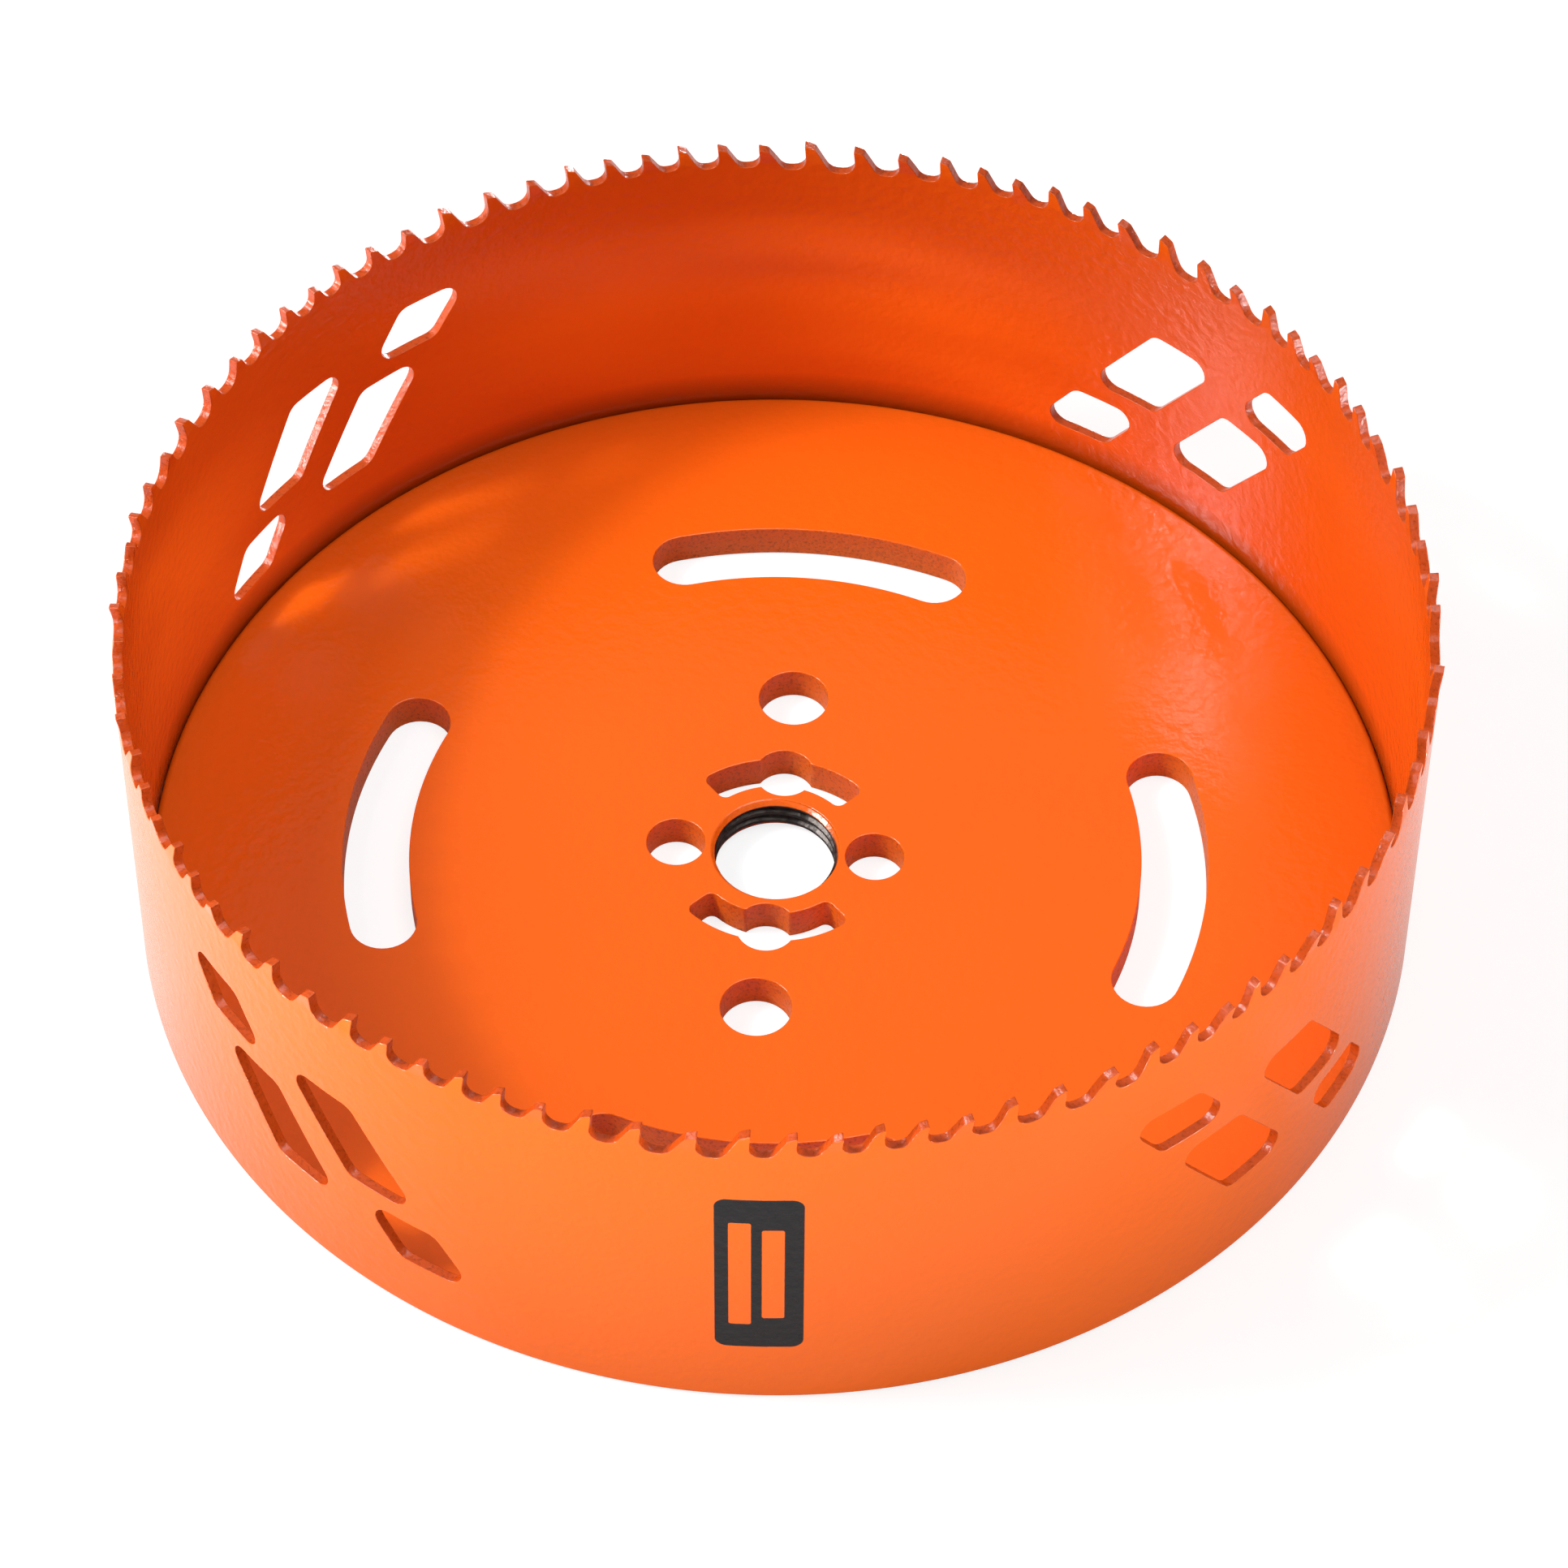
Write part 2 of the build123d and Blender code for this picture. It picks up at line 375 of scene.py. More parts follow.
def roll_up(flat, depth, normals):
    """The flat strip rolled round the axis: along becomes angle, depth is added to the radius."""
    along = flat[..., 0] % circumference
    offset, slope = set_offset(along, flat[..., 1])
    angle = seam_angle + along / ring_radius
    radial = np.stack([np.cos(angle), np.sin(angle), np.zeros_like(angle)], -1)
    sideways = np.stack([-np.sin(angle), np.cos(angle), np.zeros_like(angle)], -1)
    up = np.zeros_like(radial)
    up[..., 2] = 1
    radius = ring_radius - ring_wall / 2 + depth + offset
    place = radial * radius[..., None] + up * flat[..., 1:2]
    lean = slope[..., None]
    wall_up = unit(up + radial * lean)
    wall_out = unit(radial - up * lean)
    normal = sideways * normals[..., 0:1] + wall_up * normals[..., 1:2] + wall_out * normals[..., 2:3]
    return place, normal


def toothed_ring():
    """The whole strip: a band round every cut edge, and a filled skin on each face between them."""
    cut = wall_profile(ring_wall, edge_round, edge_round, cut_edge_steps)
    foot = wall_profile(ring_wall, foot_round, foot_inner_round, foot_edge_steps, foot_band, foot_band)
    top, wrap = tooth_outline()
    outlines = window_outlines()
    foot_along = np.arange(foot_points) * circumference / foot_points
    foot_line = np.stack([foot_along, np.zeros(foot_points)], -1)

    parts = [carry(top, outward(top, wrap), cut)]
    parts += [carry(outline, outward(outline), cut) for outline in outlines]
    parts.append(carry(foot_line, outward(foot_line, (circumference, 0)), foot))
    counts = [part[1].shape[0] for part in parts]
    rows = [part[1].shape[1] for part in parts]
    starts = np.concatenate([[0], np.cumsum(np.multiply(counts, rows))])

    # points inside the sheet, so that it bends evenly, and none too near a window's edge
    columns = np.arange(sheet_columns) * (circumference / sheet_columns)
    levels = np.append(np.arange(sheet_low, sheet_high, sheet_step), sheet_high)
    grid = np.stack(np.meshgrid(columns, levels), -1).reshape(-1, 2)
    starts_at = np.concatenate(outlines)
    ends_at = np.concatenate([np.roll(outline, -1, axis=0) for outline in outlines])
    near = np.abs(grid[:, None, :] - starts_at[None]).max(-1).min(1) < sheet_clearance
    grid = grid[~near & ~inside(grid, starts_at, ends_at)]
    seam = np.flatnonzero(grid[:, 0] == 0)

    flat = np.concatenate([part[0][:, 0] for part in parts] + [grid])
    rim_first = np.concatenate([[0], np.cumsum(counts)])
    front, back = rim_numbers(starts, counts, rows)
    front = np.append(front, starts[-1] + np.arange(len(grid)))
    back = np.append(back, starts[-1] + len(grid) + np.arange(len(grid)))

    # the left-hand column stands again at the right-hand end of the strip
    last_top = counts[0] - 1
    seam_points = np.concatenate([[rim_first[-2]], rim_first[-1] + seam, [last_top]])
    copies = len(flat) + np.arange(len(seam_points))
    flat = np.vstack([flat, flat[seam_points] + [circumference, 0]])
    front = np.append(front, front[seam_points])
    back = np.append(back, back[seam_points])

    sides = []
    for i in range(len(parts) - 1):
        ring = rim_first[i] + np.arange(counts[i])
        sides.append(np.stack([ring, np.roll(ring, -1)], -1))
    sides[0][-1] = [last_top, seam_points[-2]]
    sides.append(np.array([[copies[-1], 0]]))
    sides.append(np.stack([seam_points[1:-1], seam_points[:-2]], -1))
    base = np.append(rim_first[-2] + np.arange(foot_points), copies[0])
    sides.append(np.stack([base[:-1], base[1:]], -1))
    sides.append(np.stack([copies[:-1], copies[1:]], -1))
    triangles = fill(flat, np.concatenate(sides))

    grid_depth = np.full(len(grid), ring_wall / 2)
    grid_normal = np.tile([0, 0, 1.0], (len(grid), 1))
    place = np.concatenate([part[0].reshape(-1, 2) for part in parts] + [grid, grid])
    depth = np.concatenate([part[1].reshape(-1) for part in parts] + [grid_depth, -grid_depth])
    normal = np.concatenate([part[2].reshape(-1, 3) for part in parts] + [grid_normal, -grid_normal])
    solid, solid_normal = roll_up(place, depth, normal)
    bands = [band_faces(starts[i], counts[i], rows[i]) for i in range(len(parts))]
    faces = bands + [front[triangles], back[triangles][:, ::-1]]
    edge = np.zeros(len(place))
    edge[: starts[-2]] = 1 - np.abs(normal[: starts[-2], 2])
    masks = {"cut_edge": edge, "outer_face": (depth > 0).astype(float)}
    return build_piece("toothed_ring_finished", solid, solid_normal, faces, masks, place)


paint_colour = (0.82, 0.123, 0.005, 1)
tooth_paint_colour = (0.52, 0.062, 0.004, 1)
print_colour = (0.007, 0.007, 0.008, 1)

cloud_scale = 30
peel_scale = 750
grain_scale = 2600
noise_low = 0.3
noise_high = 0.7
coat_value = (0.975, 1.025)
coat_roughness = (0.15, 0.21)
edge_roughness = 0.12
speck_low = 0.36
speck_high = 0.5
speck_depth = 0.25
peel_strength = 0.40
peel_depth = 0.3 * mm
tear_strength = 0.35
tear_depth = 0.2 * mm
# painted shade on the ring's inner face in the corner over the plate: darkest at corner_low, gone at
# corner_high
corner_low = 4.5 * mm
corner_high = 9.0 * mm
corner_shade_value = 0.42

label_angle = 274.0
label_width = 9.9
label_height = 27.6
label_middle_z = 23.7
label_round = 1.4
# each open bar: how far along from the panel's middle, its height and half its width
label_bars = ((-2.15, 19.0, 1.25), (1.55, 16.5, 1.25))
label_bar_round = 0.3
label_soft_edge = 0.04
label_roughness = 0.12


def add(tree, kind, inputs=(), **settings):
    """A node of a kind, its settings set, and its inputs given as values or joined to sockets."""
    made = tree.nodes.new(kind)
    for name, value in settings.items():
        setattr(made, name, value)
    for name, value in dict(inputs).items():
        if isinstance(value, bpy.types.NodeSocket):
            tree.links.new(value, made.inputs[name])
        else:
            made.inputs[name].default_value = value
    return made


def maths(tree, operation, *values):
    """A maths node's result; the values are numbers or sockets."""
    return add(tree, "ShaderNodeMath", dict(enumerate(values)), operation=operation).outputs[0]


def ramp(tree, value, low, high, to_low=0.0, to_high=1.0):
    """The value moved from the range low to high into another range, held at its ends."""
    inputs = {"Value": value, "From Min": low, "From Max": high, "To Min": to_low, "To Max": to_high}
    return add(tree, "ShaderNodeMapRange", inputs).outputs["Result"]


def noise(tree, scale, detail, place):
    """Noise over the object, its cells 1 / scale metres wide."""
    inputs = {"Vector": place, "Scale": scale, "Detail": detail}
    return add(tree, "ShaderNodeTexNoise", inputs).outputs["Fac"]


def blend(tree, share, first, second):
    """A colour between two, by a share from 0 to 1."""
    inputs = {0: share, 6: first, 7: second}
    return add(tree, "ShaderNodeMix", inputs, data_type="RGBA").outputs[2]


def shaded(tree, value, colour):
    """The colour made lighter or darker, its value multiplied."""
    return add(tree, "ShaderNodeHueSaturation", {"Value": value, "Color": colour}).outputs["Color"]


def bump(tree, height, strength, distance, inputs=()):
    """The normal of a surface raised by height times distance."""
    given = {"Height": height, "Strength": strength, "Distance": distance, **dict(inputs)}
    return add(tree, "ShaderNodeBump", given).outputs["Normal"]


def powder_coat_group():
    """Sprayed and baked powder coat: it flows into a fine orange peel, and goes thinner and rougher on
    cut edges, which take the colour given for them.
    """
    tree = bpy.data.node_groups.new("powder_coat", "ShaderNodeTree")
    sockets = (
        ("INPUT", "Colour", "NodeSocketColor"),
        ("INPUT", "Edge colour", "NodeSocketColor"),
        ("INPUT", "Cut edge", "NodeSocketFloat"),
        ("OUTPUT", "Colour", "NodeSocketColor"),
        ("OUTPUT", "Roughness", "NodeSocketFloat"),
        ("OUTPUT", "Normal", "NodeSocketVector"),
    )
    for way, name, kind in sockets:
        tree.interface.new_socket(name, in_out=way, socket_type=kind)
    given = add(tree, "NodeGroupInput").outputs
    place = add(tree, "ShaderNodeTexCoord").outputs["Object"]
    cloud = noise(tree, cloud_scale, 3, place)
    peel = noise(tree, peel_scale, 2, place)
    grain = noise(tree, grain_scale, 3, place)

    # cut edges take the colour given for them; on the plate that colour is painted light
    edge_tinted = blend(tree, given["Cut edge"], given["Colour"], given["Edge colour"])
    pits = ramp(tree, grain, speck_low, speck_high, speck_depth, 0.0)
    specks = maths(tree, "MULTIPLY", given["Cut edge"], pits)
    clouds = ramp(tree, cloud, noise_low, noise_high, *coat_value)
    coat = shaded(tree, maths(tree, "SUBTRACT", clouds, specks), edge_tinted)

    smooth = ramp(tree, grain, noise_low, noise_high, *coat_roughness)
    rough = maths(tree, "MULTIPLY_ADD", given["Cut edge"], edge_roughness, smooth)

    waves = bump(tree, peel, peel_strength, peel_depth)
    torn = maths(tree, "MULTIPLY", grain, given["Cut edge"])
    normal = bump(tree, torn, tear_strength, tear_depth, {"Normal": waves})
    add(tree, "NodeGroupOutput", {"Colour": coat, "Roughness": rough, "Normal": normal})
    return tree


powder_coat = powder_coat_group()


def coated(name, edge_colour):
    """A new material with the powder coat placed in it: its tree, its shader and the coat's outputs."""
    material = bpy.data.materials.new(name)
    material.use_nodes = True
    tree = material.node_tree
    shader = tree.nodes["Principled BSDF"]
    edge = add(tree, "ShaderNodeAttribute", attribute_name="cut_edge").outputs["Fac"]
    coat = add(tree, "ShaderNodeGroup", node_tree=powder_coat)
    coat.inputs["Colour"].default_value = paint_colour
    coat.inputs["Edge colour"].default_value = edge_colour
    tree.links.new(edge, coat.inputs["Cut edge"])
    tree.links.new(coat.outputs["Normal"], shader.inputs["Normal"])
    return material, tree, shader, coat.outputs


def bar_mask(tree, along, height, centre, half, corner):
    """One inside a rounded bar on the flat strip, zero outside, from the distance to its edge.

    The distance is the length of the part of |offset| - (half - corner) above zero, less corner.
    """
    over = []
    for value, middle, reach in zip((along, height), centre, half):
        offset = maths(tree, "ABSOLUTE", maths(tree, "SUBTRACT", value, middle))
        over.append(maths(tree, "MAXIMUM", maths(tree, "SUBTRACT", offset, reach - corner), 0.0))
    squares = maths(tree, "ADD", *(maths(tree, "POWER", value, 2.0) for value in over))
    distance = maths(tree, "SUBTRACT", maths(tree, "SQRT", squares), corner)
    return ramp(tree, distance, -label_soft_edge * mm, label_soft_edge * mm, 1.0, 0.0)


def ring_paint():
    """The ring's coat with its plain dark panel, screen printed on the outer face, two bars left open.

    The inner face is painted darker in the corner over the plate, up to the height corner_high: painted
    shade where the corner gets less light.
    """
    material, tree, shader, coat = coated("ring_powder_coat", tooth_paint_colour)
    flat = add(tree, "ShaderNodeUVMap", uv_map="flat").outputs["UV"]
    along, height, _ = add(tree, "ShaderNodeSeparateXYZ", {"Vector": flat}).outputs
    middle = (np.radians(label_angle) - seam_angle) % (2 * np.pi) * ring_radius
    centre = (middle * mm, label_middle_z * mm)
    half = (label_width / 2 * mm, label_height / 2 * mm)
    panel = bar_mask(tree, along, height, centre, half, label_round * mm)
    for across, length, half_width in label_bars:
        centre = ((middle + across) * mm, label_middle_z * mm)
        half = (half_width * mm, length / 2 * mm)
        opened = bar_mask(tree, along, height, centre, half, label_bar_round * mm)
        panel = maths(tree, "MULTIPLY", panel, maths(tree, "SUBTRACT", 1.0, opened))
    outer = add(tree, "ShaderNodeAttribute", attribute_name="outer_face").outputs["Fac"]
    panel = maths(tree, "MULTIPLY", panel, maths(tree, "GREATER_THAN", outer, 0.5))
    # painted shade: the inner face is darkened toward the corner over the plate, the outer face stays as
    # it is
    painted_corner_shade = ramp(tree, height, corner_low, corner_high, corner_shade_value, 1.0)
    sprayed = shaded(tree, maths(tree, "MAXIMUM", outer, painted_corner_shade), coat["Colour"])
    tree.links.new(blend(tree, panel, sprayed, print_colour), shader.inputs["Base Color"])
    rough = maths(tree, "MULTIPLY_ADD", panel, label_roughness, coat["Roughness"])
    tree.links.new(rough, shader.inputs["Roughness"])
    return material


ring = toothed_ring()
ring.data.materials.append(ring_paint())
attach(ring, "root")
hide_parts("toothed_ring")


# ---------------------------------------------------------------------------
# Backing plate. A disc blanked from thick steel, whose inner rim the press rolled over. The
# pin and ejection holes are drilled and the curved slots punched; the arbor bore is chamfered
# and threaded 18 turns to the inch. The disc is pressed into the ring's foot and welded.
# ---------------------------------------------------------------------------
plate_thickness = 4.5
plate_gap = 0.05
plate_radius = ring_radius - ring_wall - plate_gap
plate_rim_round = 0.9
plate_foot_round = 0.2
hole_edge_round = 0.16
pin_circle_radius = 12.0
pin_hole_radius = 3.55
drive_slot_width = 4.1
drive_slot_half_angle = np.radians(44.0)
drive_slot_round = 1.0
eject_circle_radius = 24.1
eject_hole_radius = 4.25
curved_slot_count = 4
curved_slot_radius = 48.0
curved_slot_width = 8.0
curved_slot_half_angle = np.radians(19.0)
thread_pitch = 25.4 / 18
thread_crest_radius = 7.2
thread_chamfer = 0.6
# distance from the crest's middle, and how far the thread lies behind the crest there
thread_section = ((0.13, 0.0), (0.18, 0.02), (0.23, 0.09), (0.48, 0.5), (0.53, 0.58))
# depth under the plate's face, and how far the bore's mouth is rounded beyond the chamfer
bore_mouth = ((0.0, 0.12), (0.01, 0.06), (0.04, 0.01))
bore_mouth_depth = 0.08
bore_mask_blur = 0.05
bore_rows = 88
bore_columns = 160
plate_rim_steps = 7
hole_edge_steps = 3


def around(centre, radius, start, sweep, samples):
    """Points on an arc: angles run clockwise from +Y, so x = radius * sin and y = radius * cos."""
    angle = start + sweep * np.linspace(0, 1, samples)
    return np.stack([centre[0] + radius * np.sin(angle), centre[1] + radius * np.cos(angle)], -1)


def turned(points, angle):
    """The points turned round the origin by an angle, anticlockwise."""
    x, y = points.T
    return np.stack([x * np.cos(angle) - y * np.sin(angle), x * np.sin(angle) + y * np.cos(angle)], -1)


def drive_slot_outline():
    """The drive slot on +Y, clockwise: pin hole, outer arc, rounded end, inner arc, pin hole.

    The pin hole's circle meets an arc of radius R at the height (R * R + c * c - r * r) / 2c,
    for a hole of radius r at distance c. The left half mirrors the right.
    """
    outer = pin_circle_radius + drive_slot_width / 2
    inner = pin_circle_radius - drive_slot_width / 2
    far, near = (
        np.arccos((r * r + pin_circle_radius**2 - pin_hole_radius**2) / (2 * pin_circle_radius * r))
        for r in (outer, inner)
    )
    hole_far = np.arctan2(outer * np.sin(far), outer * np.cos(far) - pin_circle_radius)
    hole_near = np.arctan2(inner * np.sin(near), inner * np.cos(near) - pin_circle_radius)
    corner_far = outer - drive_slot_round
    corner_near = inner + drive_slot_round
    turn_far = drive_slot_half_angle - np.arcsin(drive_slot_round / corner_far)
    turn_near = drive_slot_half_angle - np.arcsin(drive_slot_round / corner_near)
    centre = (0, 0)
    hole = (0, pin_circle_radius)
    far_corner = (corner_far * np.sin(turn_far), corner_far * np.cos(turn_far))
    near_corner = (corner_near * np.sin(turn_near), corner_near * np.cos(turn_near))
    end = drive_slot_half_angle + np.pi / 2
    right = np.vstack(
        [
            around(hole, pin_hole_radius, 0, hole_far, samples=14),
            around(centre, outer, far, turn_far - far, samples=14)[1:],
            around(far_corner, drive_slot_round, turn_far, end - turn_far, samples=8)[1:],
            around(near_corner, drive_slot_round, end, turn_near + np.pi - end, samples=8),
            around(centre, inner, turn_near, near - turn_near, samples=12)[1:],
            around(hole, pin_hole_radius, hole_near, np.pi - hole_near, samples=11)[1:],
        ]
    )
    left = right[-2:0:-1] * [-1, 1]
    return np.vstack([right, left])


def curved_slot_outline():
    """The curved slot on +Y, clockwise: outer arc, round end, inner arc, round end."""
    half = curved_slot_width / 2
    start = -curved_slot_half_angle
    sweep = 2 * curved_slot_half_angle
    right = (curved_slot_radius * np.sin(-start), curved_slot_radius * np.cos(start))
    left = (-right[0], right[1])
    return np.vstack(
        [
            around((0, 0), curved_slot_radius + half, start, sweep, samples=40)[:-1],
            around(right, half, -start, np.pi, samples=20)[:-1],
            around((0, 0), curved_slot_radius - half, -start, -sweep, samples=34)[:-1],
            around(left, half, np.pi + start, np.pi, samples=20)[:-1],
        ]
    )


def thread_bore():
    """The bore from the top face to the bottom face: (column, row) places, normals and bareness.

    The radius is the larger of the chamfer's cone and a sixty-degree thread whose phase is
    height / pitch - angle / full turn. Normals come from differences along the grid. The steel
    is bare below the chamfer.
    """
    mouth_depth, mouth_reach = np.transpose(bore_mouth)
    chamfer_radius = thread_crest_radius + thread_chamfer
    top_rows = plate_thickness - mouth_depth
    top_radii = chamfer_radius + mouth_reach
    wall_rows = np.linspace(plate_thickness - bore_mouth_depth, bore_mouth_depth, bore_rows)
    height = np.concatenate([top_rows, wall_rows, mouth_depth[::-1]])
    angle = -np.arange(bore_columns) * 2 * np.pi / bore_columns
    phase = (wall_rows / thread_pitch - angle[:, None] / (2 * np.pi)) % 1
    from_crest = np.abs(phase - 0.5) * thread_pitch
    reach, fall = np.transpose(thread_section)
    thread = np.interp(from_crest, reach, thread_crest_radius + fall)
    depth = np.minimum(wall_rows, plate_thickness - wall_rows)
    wall = np.maximum(thread, chamfer_radius - depth)
    mouth = np.tile(top_radii, (bore_columns, 1))
    radius = np.hstack([mouth, wall, mouth[:, ::-1]])
    x = radius * np.cos(angle)[:, None]
    y = radius * np.sin(angle)[:, None]
    place = np.stack([x, y, np.broadcast_to(height, radius.shape)], -1)
    round_way = np.roll(place, -1, axis=0) - np.roll(place, 1, axis=0)
    down = np.gradient(place, axis=1)
    normal = unit(np.cross(down, round_way))
    normal[:, 0] = [0, 0, 1]
    normal[:, -1] = [0, 0, -1]
    mask_edge = [thread_chamfer - bore_mask_blur, thread_chamfer + bore_mask_blur]
    masked = np.interp(depth, mask_edge, [0, 1])
    bare = np.zeros_like(radius)
    bare[:, len(top_rows) : -len(top_rows)] = masked
    return place, normal, bare


def backing_plate():
    """The whole disc: a band round each edge, the threaded bore, and a filled skin on each face."""
    rim = wall_profile(plate_thickness, plate_rim_round, plate_foot_round, plate_rim_steps)
    cut = wall_profile(plate_thickness, hole_edge_round, hole_edge_round, hole_edge_steps)
    full = 2 * np.pi
    outlines = [around((0, 0), plate_radius, full, -full, samples=361)[:-1]]
    for side in (-1, 1):
        pin_centre = (side * pin_circle_radius, 0)
        eject_centre = (0, side * eject_circle_radius)
        outlines.append(around(pin_centre, pin_hole_radius, 0, full, samples=57)[:-1])
        outlines.append(around(eject_centre, eject_hole_radius, 0, full, samples=65)[:-1])
        outlines.append(turned(drive_slot_outline(), np.pi / 2 * (1 - side)))
    for i in range(curved_slot_count):
        outlines.append(turned(curved_slot_outline(), i * full / curved_slot_count))

    bands = [carry(outlines[0], outward(outlines[0]), rim)]
    bands += [carry(outline, outward(outline), cut) for outline in outlines[1:]]
    counts = [band[1].shape[0] for band in bands]
    rows = [band[1].shape[1] for band in bands]
    bore, bore_normal, bore_bare = thread_bore()
    counts.append(bore.shape[0])
    rows.append(bore.shape[1])
    starts = np.concatenate([[0], np.cumsum(np.multiply(counts, rows))])
    rims = [band[0][:, 0] for band in bands] + [bore[:, 0, :2]]
    rim_first = np.concatenate([[0], np.cumsum(counts)])
    loops = [rim_first[i] + np.arange(counts[i]) for i in range(len(rims))]
    sides = np.concatenate([np.stack([loop, np.roll(loop, -1)], -1) for loop in loops])
    top_skin = fill(np.concatenate(rims), sides)
    feet = [band[0][:, -1] for band in bands] + [bore[:, -1, :2]]
    bottom_skin = fill(np.concatenate(feet), sides)
    top, bottom = rim_numbers(starts, counts, rows)

    places = []
    normals = []
    for flat, height, normal in bands:
        place = np.concatenate([flat, height[..., None] + plate_thickness / 2], -1)
        places.append(place.reshape(-1, 3))
        normals.append(normal.reshape(-1, 3))
    places = np.concatenate(places + [bore.reshape(-1, 3)])
    normals = np.concatenate(normals + [bore_normal.reshape(-1, 3)])
    # the disc's own rim is rolled over, so that the coat is whole on it
    edge = 1 - np.abs(normals[:, 2])
    edge[: starts[1]] = 0
    bare = np.zeros(len(places))
    bare[starts[-2] :] = bore_bare.ravel()
    faces = [band_faces(starts[i], counts[i], rows[i]) for i in range(len(rims))]
    faces += [top[top_skin], bottom[bottom_skin][:, ::-1]]
    masks = {"cut_edge": edge, "bare_steel": bare}
    return build_piece("backing_plate_finished", places, normals, faces, masks, places[:, :2])


# painted light: the plate's hole, slot and bore walls are coloured lighter than the coat, standing in for
# light that hardly gets into them
hole_wall_painted_light_colour = (0.94, 0.175, 0.006, 1)
steel_colour = (0.060, 0.052, 0.048, 1)
steel_value = (0.6, 1.5)
steel_roughness = (0.28, 0.45)
steel_metallic = 0.9
smear_scale = 900


def plate_paint():
    """The plate's coat, and the thread's bare oiled steel, which was masked while it was sprayed."""
    material, tree, shader, coat = coated("plate_powder_coat", hole_wall_painted_light_colour)
    bare = add(tree, "ShaderNodeAttribute", attribute_name="bare_steel").outputs["Fac"]
    place = add(tree, "ShaderNodeTexCoord").outputs["Object"]
    smear = noise(tree, smear_scale, 3, place)
    steel = shaded(tree, ramp(tree, smear, noise_low, noise_high, *steel_value), steel_colour)
    tree.links.new(blend(tree, bare, coat["Colour"], steel), shader.inputs["Base Color"])
    tree.links.new(maths(tree, "MULTIPLY", bare, steel_metallic), shader.inputs["Metallic"])
    steel_rough = ramp(tree, smear, noise_low, noise_high, *steel_roughness)
    rough = add(tree, "ShaderNodeMix", {0: bare, 2: coat["Roughness"], 3: steel_rough}).outputs[0]
    tree.links.new(rough, shader.inputs["Roughness"])
    return material


plate = backing_plate()
plate.data.materials.append(plate_paint())
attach(plate, "root")
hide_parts("backing_plate")


# ---------------------------------------------------------------------------
# Studio. A white sweep under and behind the saw, soft boxes over it and beside it, four low
# strips round the outer wall, an even sky, and the camera at arm's length. Lengths in metres.
# ---------------------------------------------------------------------------
floor_half = 4.0
floor_drop = 0.0001
floor_colour = (0.34, 0.34, 0.34, 1)
floor_seen_colour = (0.26, 0.26, 0.26, 1)
floor_glow = 0.80
floor_fleck_scale = 300
floor_fleck = (0.98, 1.02)
sky_level = 0.23
# how much of the seen floor a reflection gets: more toward bright_side, painted light, and none under the
# saw, painted shade
bright_side = (-0.35, 1.0, 0.0)
bright_from = -0.07
bright_to = 0.0
gloss_front = 0.03
gloss_back = 0.95
foot_inside = 0.070
foot_outside = 0.076
# name, place, the point it faces, width and height, spread in degrees, power in watts
soft_boxes = (
    ("left_soft_box", (-0.85, -0.10, 1.00), (0.0, 0.0, 0.0), (0.20, 0.09), 180.0, 6.1),
    ("top_soft_box", (0.34, 0.00, 1.36), (0.0, 0.0, 0.0), (0.8, 0.8), 180.0, 7.8),
    ("side_soft_box", (-0.45, -0.05, 0.50), (-0.30, -0.05, 0.0), (0.3, 0.3), 180.0, 2.8),
    ("front_strip", (-0.10, -0.62, 0.022), (-0.02, 0.0, 0.065), (0.50, 0.036), 20.0, 0.10),
    ("left_strip", (-0.62, -0.25, 0.022), (0.0, 0.0, 0.060), (0.30, 0.036), 20.0, 0.14),
    ("right_strip", (0.60, -0.28, 0.022), (0.0, 0.0, 0.060), (0.40, 0.036), 20.0, 0.13),
    ("back_strip", (0.10, 0.65, 0.022), (0.0, 0.0, 0.060), (0.60, 0.036), 20.0, 0.14),
)
camera_place = (0.04172, -0.46086, 0.56882)
camera_turn = (39.964, -0.239, 5.336)
camera_lens = 139.4


def seen_directly(tree, gloss_share):
    """One for the camera and through a clear body, a share in a reflection, zero for light on its way."""
    path = add(tree, "ShaderNodeLightPath").outputs
    glossy = maths(tree, "MULTIPLY", path["Is Glossy Ray"], gloss_share)
    seen = maths(tree, "MAXIMUM", path["Is Camera Ray"], glossy)
    return maths(tree, "MAXIMUM", seen, path["Is Transmission Ray"])


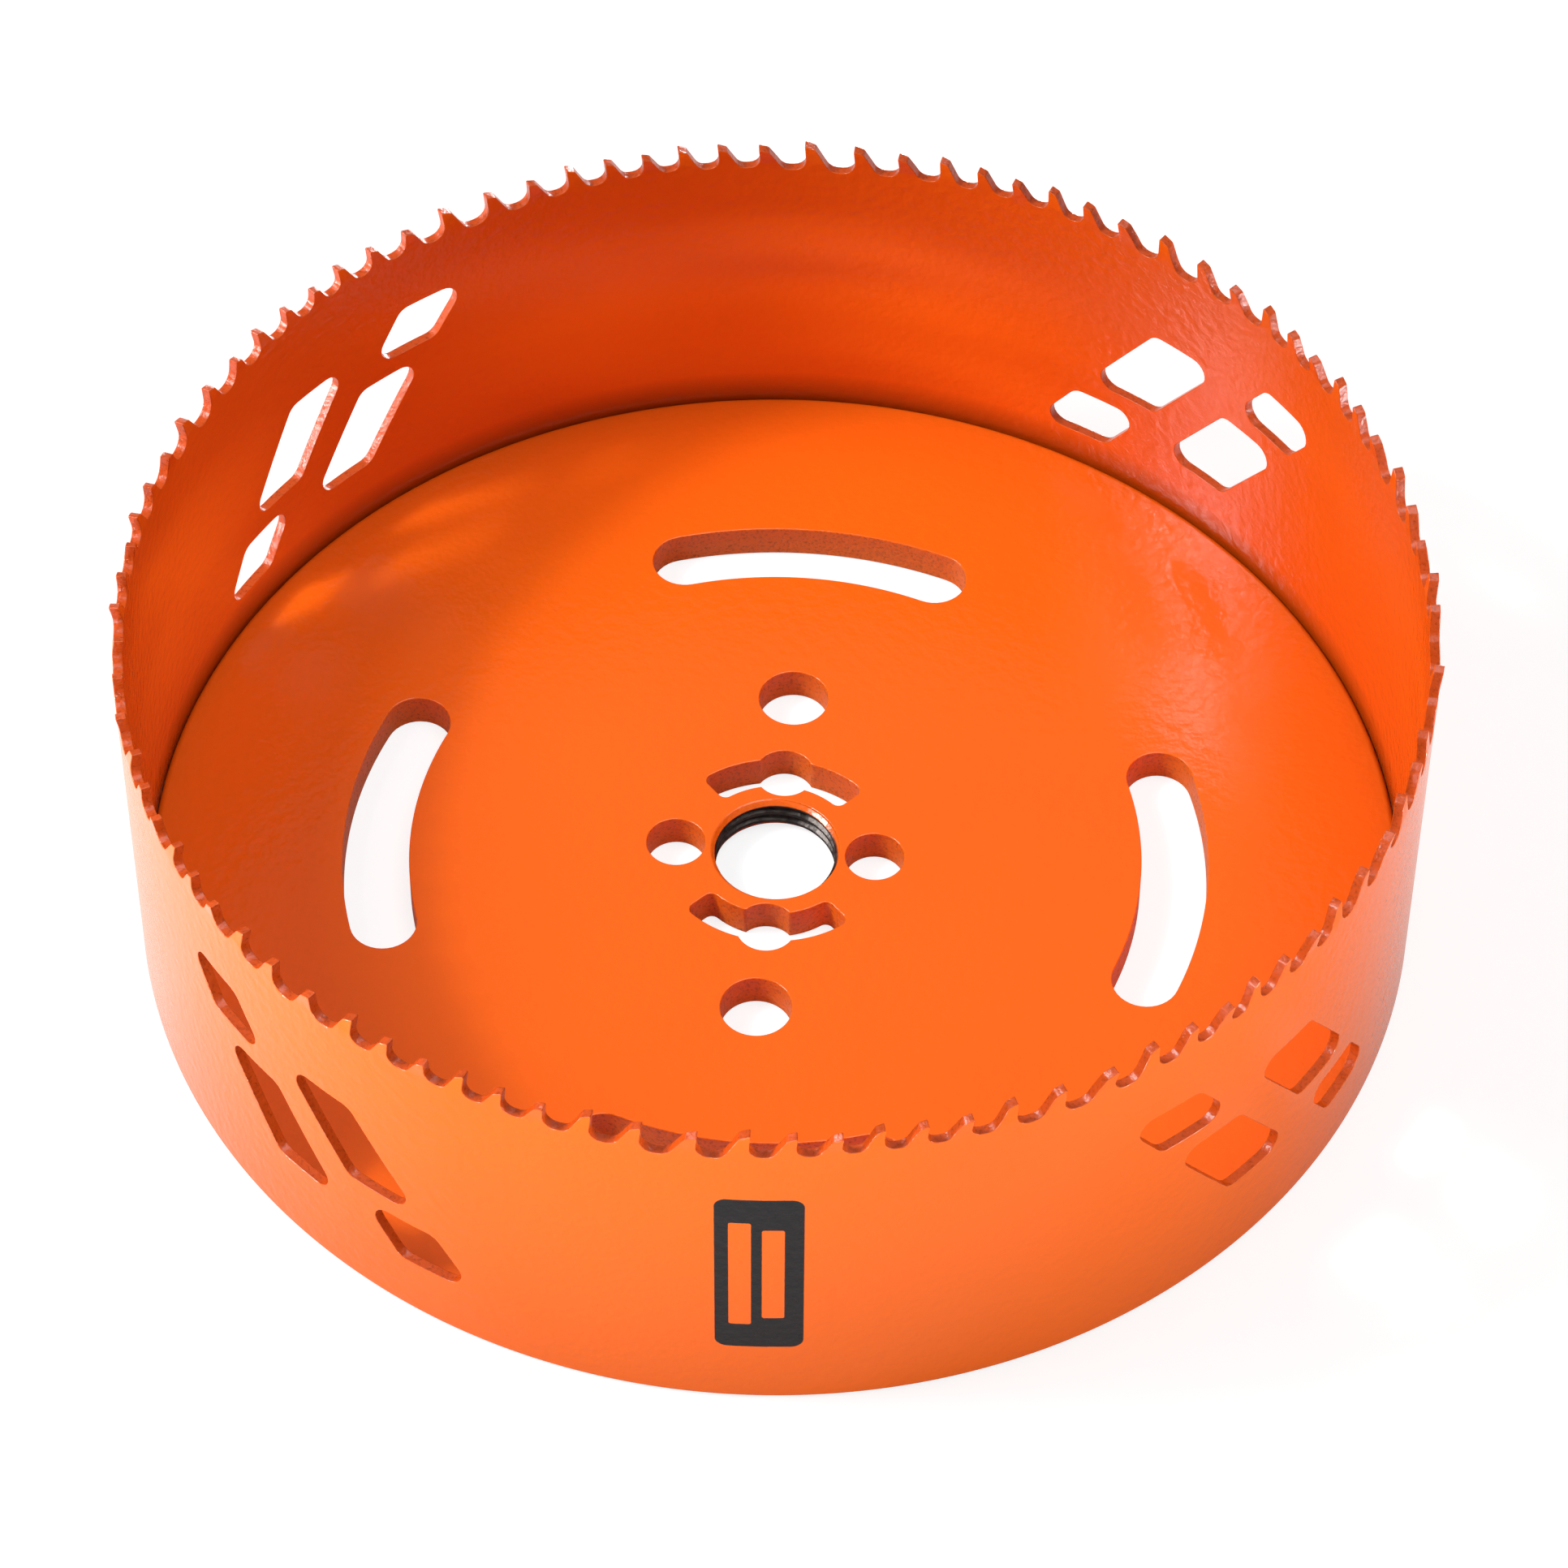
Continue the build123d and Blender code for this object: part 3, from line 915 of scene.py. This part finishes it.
def floor_paint():
    """White where it is seen, a little darker in the saw's shadow, and grey where it lights the saw.

    A reflection sees it bright toward the back, painted light, and dark in front and under the saw,
    painted shade.
    """
    material = bpy.data.materials.new("white_sweep")
    material.use_nodes = True
    tree = material.node_tree
    tree.nodes.remove(tree.nodes["Principled BSDF"])
    place = add(tree, "ShaderNodeTexCoord").outputs["Object"]
    speckle = noise(tree, floor_fleck_scale, 2, place)
    fleck = ramp(tree, speckle, noise_low, noise_high, *floor_fleck)
    lit = shaded(tree, fleck, floor_colour)
    seen = shaded(tree, fleck, floor_seen_colour)
    lights = add(tree, "ShaderNodeBsdfDiffuse", {"Color": lit}).outputs["BSDF"]
    shade = add(tree, "ShaderNodeBsdfDiffuse", {"Color": seen}).outputs["BSDF"]
    glow = add(tree, "ShaderNodeEmission", {"Strength": floor_glow}).outputs["Emission"]
    shown = add(tree, "ShaderNodeAddShader", {0: shade, 1: glow}).outputs["Shader"]

    toward = add(tree, "ShaderNodeVectorMath", {0: place, 1: bright_side}, operation="DOT_PRODUCT")
    from_middle = add(tree, "ShaderNodeVectorMath", {0: place}, operation="LENGTH")
    # painted light and shade in reflections: brighter toward bright_side, none under the saw
    bright = ramp(tree, toward.outputs["Value"], bright_from, bright_to, gloss_front, gloss_back)
    clear = ramp(tree, from_middle.outputs["Value"], foot_inside, foot_outside)
    seen_share = seen_directly(tree, maths(tree, "MULTIPLY", bright, clear))
    mixed = add(tree, "ShaderNodeMixShader", {"Fac": seen_share, 1: lights, 2: shown}).outputs["Shader"]
    tree.links.new(mixed, tree.nodes["Material Output"].inputs["Surface"])
    return material


floor_corners = np.array([[-1, -1], [1, -1], [1, 1], [-1, 1]]) * floor_half
floor_corners = np.column_stack([floor_corners, np.full(4, -floor_drop)])
floor_mesh = bpy.data.meshes.new("floor")
floor_mesh.from_pydata(floor_corners.tolist(), [], [[0, 1, 2, 3]])
floor_mesh.materials.append(floor_paint())
floor = bpy.data.objects.new("floor", floor_mesh)
bpy.context.scene.collection.objects.link(floor)

for name, place, aim, size, spread, power in soft_boxes:
    lamp = bpy.data.lights.new(name, "AREA")
    lamp.shape = "RECTANGLE"
    lamp.size, lamp.size_y = size
    lamp.spread = np.radians(spread)
    lamp.energy = power
    box = bpy.data.objects.new(name, lamp)
    box.location = place
    box.rotation_euler = (Vector(place) - Vector(aim)).to_track_quat("Z", "Y").to_euler()
    box.visible_camera = False
    bpy.context.scene.collection.objects.link(box)

world = bpy.data.worlds.new("sky")
bpy.context.scene.world = world
world.use_nodes = True
sky = world.node_tree
background = sky.nodes["Background"]
level = ramp(sky, seen_directly(sky, gloss_front), 0.0, 1.0, sky_level, 1.0)
sky.links.new(level, background.inputs["Strength"])
background.inputs["Color"].default_value = (1, 1, 1, 1)

view = bpy.data.cameras.new("camera")
view.lens = camera_lens
view.sensor_width = 36.0
view.clip_start = 0.01
camera = bpy.data.objects.new("camera", view)
camera.location = camera_place
camera.rotation_euler = np.radians(camera_turn)
bpy.context.scene.collection.objects.link(camera)
bpy.context.scene.camera = camera
bpy.context.scene.view_settings.view_transform = "Standard"
